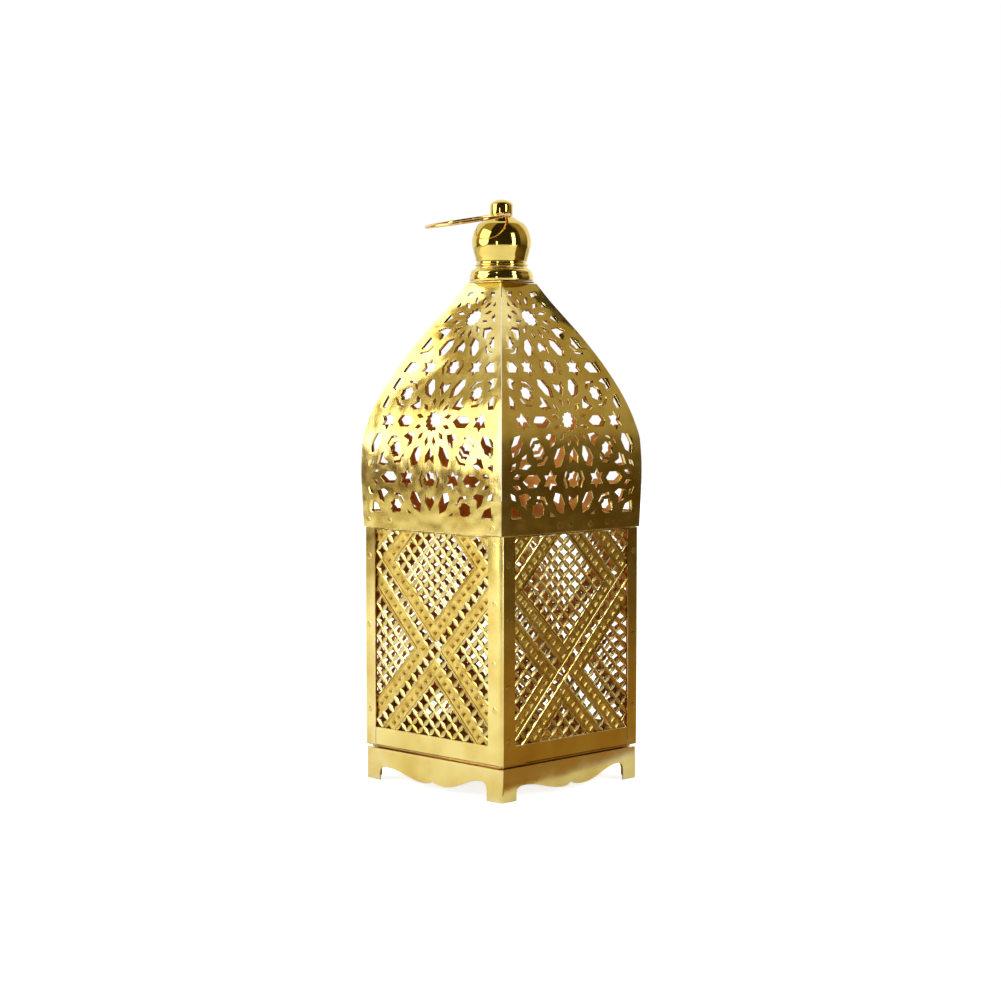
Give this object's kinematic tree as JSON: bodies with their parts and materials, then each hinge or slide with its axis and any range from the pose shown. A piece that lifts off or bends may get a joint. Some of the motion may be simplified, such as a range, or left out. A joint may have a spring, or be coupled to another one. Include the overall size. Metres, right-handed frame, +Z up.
{
  "type": "candle lantern",
  "caption": "Square candle lantern of pierced gold-finished sheet with lattice windows, a curved four-sided dome, a scalloped base and a ball finial with a ring handle",
  "frame": {"origin": "on the ground, under the middle of the square base", "axes": "+Z up; the faces of the body are square to X and Y; the ring handle lies over to the -Y side"},
  "size_m": [0.1072, 0.1072, 0.3125],
  "materials": {
    "satin_gold": "satin",
    "pale_gold": "satin",
    "mirror_gold": "mirror polish",
    "wire_gold": "polished",
    "plain_steel": "plain"
  },
  "bodies": {
    "base": {"base_skirt": "satin_gold", "base_tray": "satin_gold", "candle_cup": "pale_gold"},
    "lantern": {"body_frame_front": "satin_gold", "body_frame_rear": "satin_gold", "corner_post_right": "satin_gold", "corner_post_left": "satin_gold", "lattice_front": "pale_gold", "lattice_right": "pale_gold", "lattice_back": "pale_gold", "lattice_left": "pale_gold", "dome_panel_front": "satin_gold", "dome_panel_right": "satin_gold", "dome_panel_back": "satin_gold", "dome_panel_left": "satin_gold", "cap_plate": "satin_gold", "finial_collar": "mirror_gold", "finial_neck": "mirror_gold", "finial_ball": "mirror_gold", "finial_stud": "plain_steel", "stud_washer": "plain_steel", "stud_nut": "plain_steel"},
    "ring": {"ring_handle": "wire_gold"}
  },
  "joints": [
    {"name": "lift", "type": "slide", "parent": "base", "child": "lantern", "axis": [0, 0, 1], "range_m": [0, 0.06]},
    {"name": "ring_swing", "type": "hinge", "parent": "lantern", "child": "ring", "pos_m": [0, 0, 0.3043], "axis": [-0.9744, 0.225, 0], "range_deg": [0, 160]}
  ]
}
